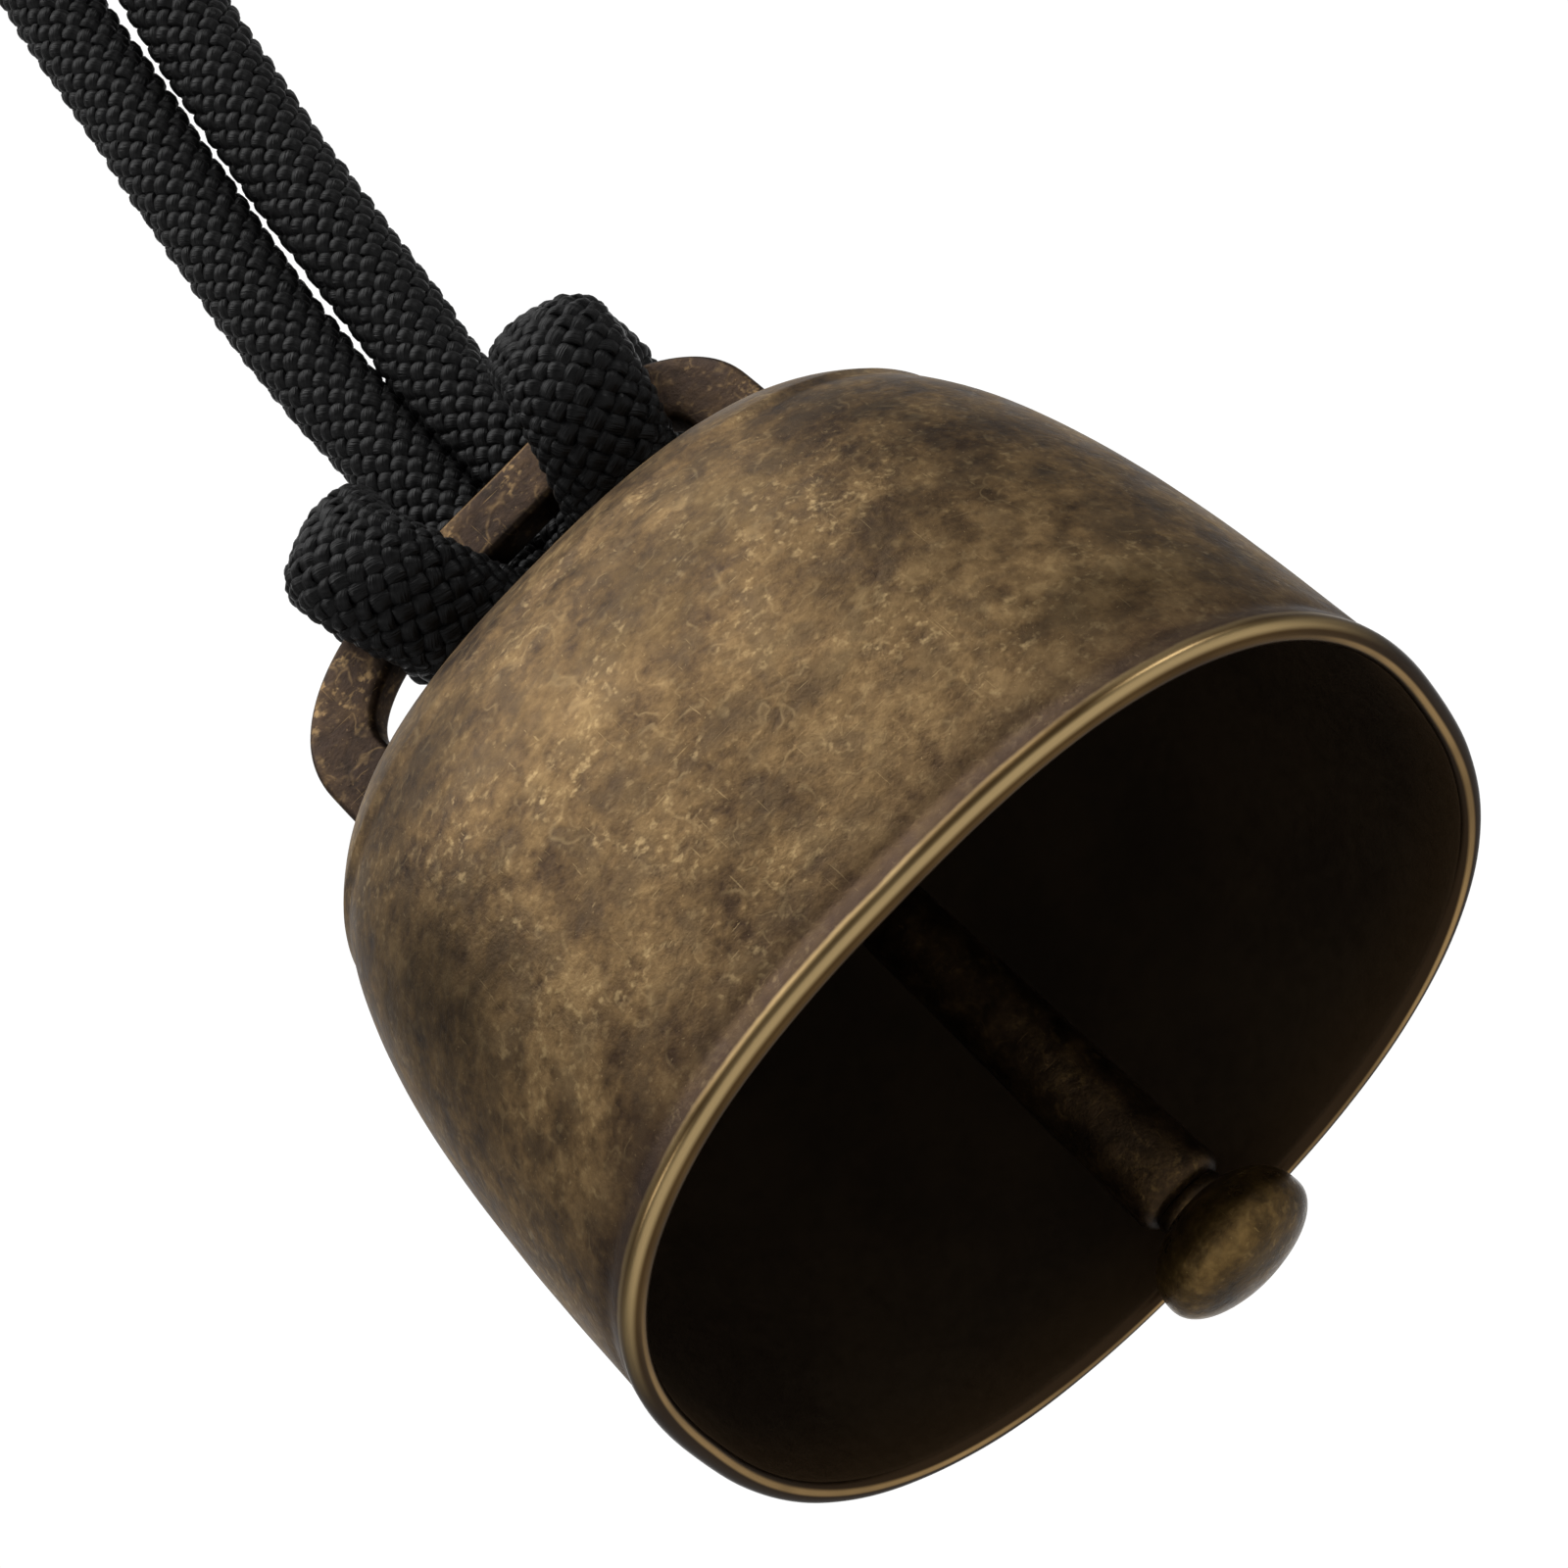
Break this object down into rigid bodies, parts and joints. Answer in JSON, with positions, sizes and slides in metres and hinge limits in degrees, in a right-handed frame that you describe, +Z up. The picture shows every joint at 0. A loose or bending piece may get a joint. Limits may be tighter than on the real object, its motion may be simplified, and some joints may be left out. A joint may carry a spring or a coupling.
{
  "type": "small hanging bell",
  "caption": "Oval brass hanging bell with a flat slotted bail, a free clapper on a wire link, and a doubled braided cord hitched through the bail.",
  "frame": {"origin": "point where the doubled cord is held, just under its knot", "axes": "+Z up, along the hanging bell's own axis; +X along the long side of the oval and of the bail; +Y towards the back wall that the clapper leans to"},
  "size_m": [0.044, 0.0348, 0.1558],
  "materials": {
    "shell_brass": "antiqued, speckled brown and gold patina, worn bright at the lip",
    "bail_brass": "dark brown antiqued, gold where scratched and along the edges",
    "inner_brass": "dark oxidised wire",
    "clapper_brass": "antiqued, polished by wear on the striker",
    "cord_nylon": "black braided nylon"
  },
  "bodies": {
    "cord": {"hanging_cord": "cord_nylon", "cord_knot": "cord_nylon"},
    "bell": {"bell_shell": "shell_brass", "hanger_bail": "bail_brass", "clapper_staple": "inner_brass"},
    "link": {"clapper_link": "inner_brass"},
    "clapper": {"clapper_rod": "clapper_brass", "clapper_head": "clapper_brass"}
  },
  "joints": [
    {"name": "bell_swing", "type": "hinge", "parent": "cord", "child": "bell", "pos_m": [-0.009, 0, -0.06555], "axis": [1, 0, 0], "range_deg": [-30, 30]},
    {"name": "clapper_swing", "type": "hinge", "parent": "bell", "child": "link", "pos_m": [-0.009, 0, -0.0802], "axis": [1, 0, 0], "range_deg": [-42, 0]},
    {"name": "clapper_side_swing", "type": "hinge", "parent": "link", "child": "clapper", "pos_m": [-0.009, 0.00131, -0.08361], "axis": [0, 0.9336, 0.3584], "range_deg": [-11, 11]}
  ]
}
